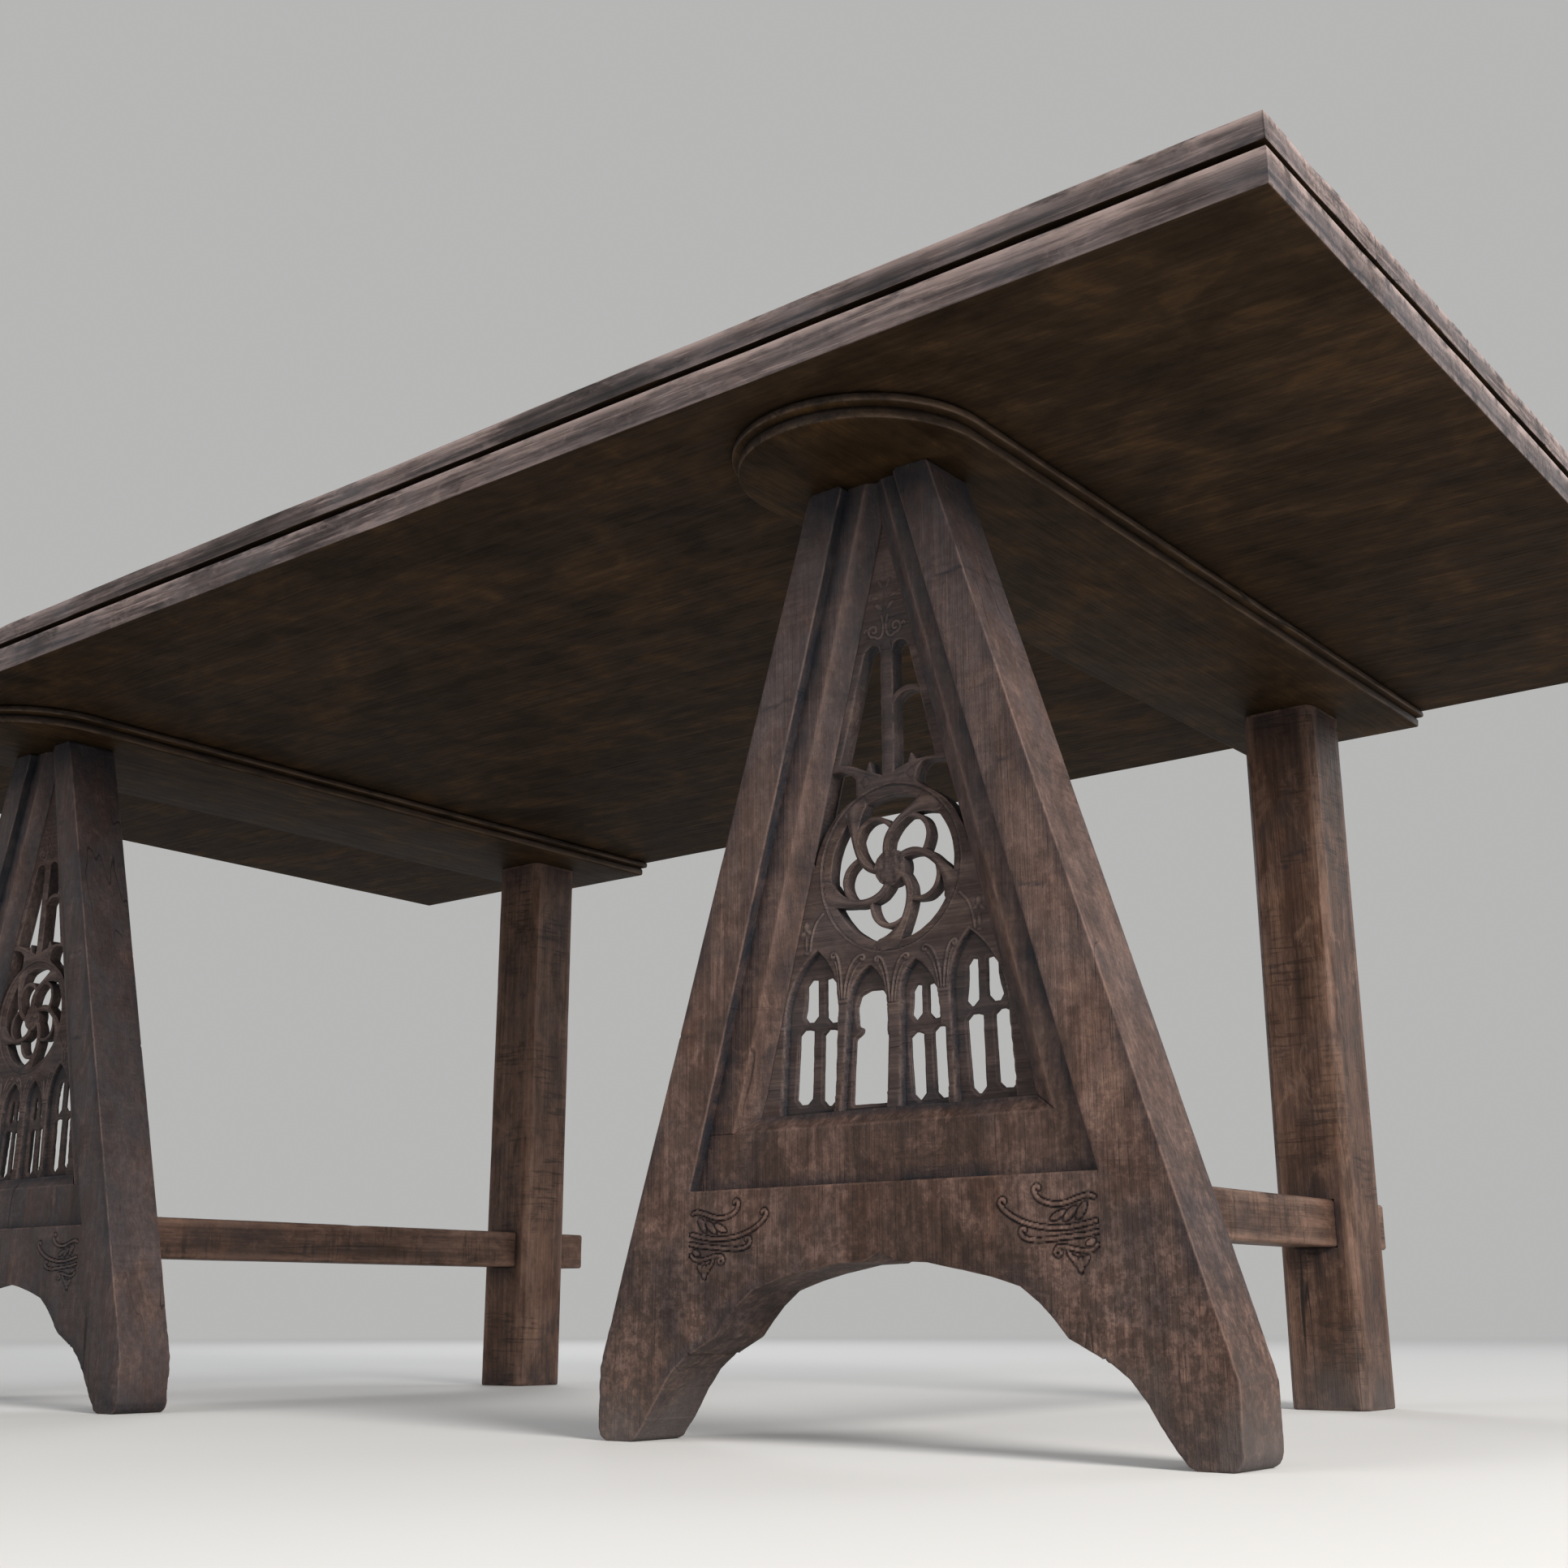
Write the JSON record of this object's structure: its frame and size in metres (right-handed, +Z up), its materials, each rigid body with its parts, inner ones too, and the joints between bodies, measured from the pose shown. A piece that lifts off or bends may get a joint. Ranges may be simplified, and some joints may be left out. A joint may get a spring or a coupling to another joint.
{
  "type": "communion table",
  "caption": "Long plank-topped communion table on two trestles, each a pierced gothic A-frame in front, a square post behind and a low stretcher.",
  "frame": {"origin": "on the floor, under the centre of the table top", "axes": "+X along the length of the top, to the right as seen from the front; +Y from the front to the back; the pierced A-frames face -Y; +Z up"},
  "size_m": [1.975, 1.078, 0.8],
  "materials": {
    "oak_top": "weathered, open grained, unpolished",
    "oak_core": "dark, unfinished, in shadow",
    "oak_bearer": "dark, dull, planed",
    "oak_frame": "reddish brown, stained, worn at the edges",
    "oak_tracery": "carved, matt, darkened in the hollows",
    "oak_post": "warm brown, planed, worn at the edges"
  },
  "bodies": {
    "root": {"back_bead_inner_left": "oak_frame", "back_bead_inner_right": "oak_frame", "back_bead_outer_left": "oak_frame", "back_bead_outer_right": "oak_frame", "bearer_left": "oak_bearer", "bearer_right": "oak_bearer", "foot_rail_left": "oak_frame", "foot_rail_right": "oak_frame", "front_bead_inner_left": "oak_frame", "front_bead_inner_right": "oak_frame", "front_bead_outer_left": "oak_frame", "front_bead_outer_right": "oak_frame", "groove_strip": "oak_core", "leg_inner_left": "oak_frame", "leg_inner_right": "oak_frame", "leg_outer_left": "oak_frame", "leg_outer_right": "oak_frame", "rear_post_left": "oak_post", "rear_post_right": "oak_post", "stretcher_left": "oak_post", "stretcher_right": "oak_post", "top_board": "oak_top", "tracery_panel_left": "oak_tracery", "tracery_panel_right": "oak_tracery", "under_board": "oak_top"}
  },
  "joints": []
}
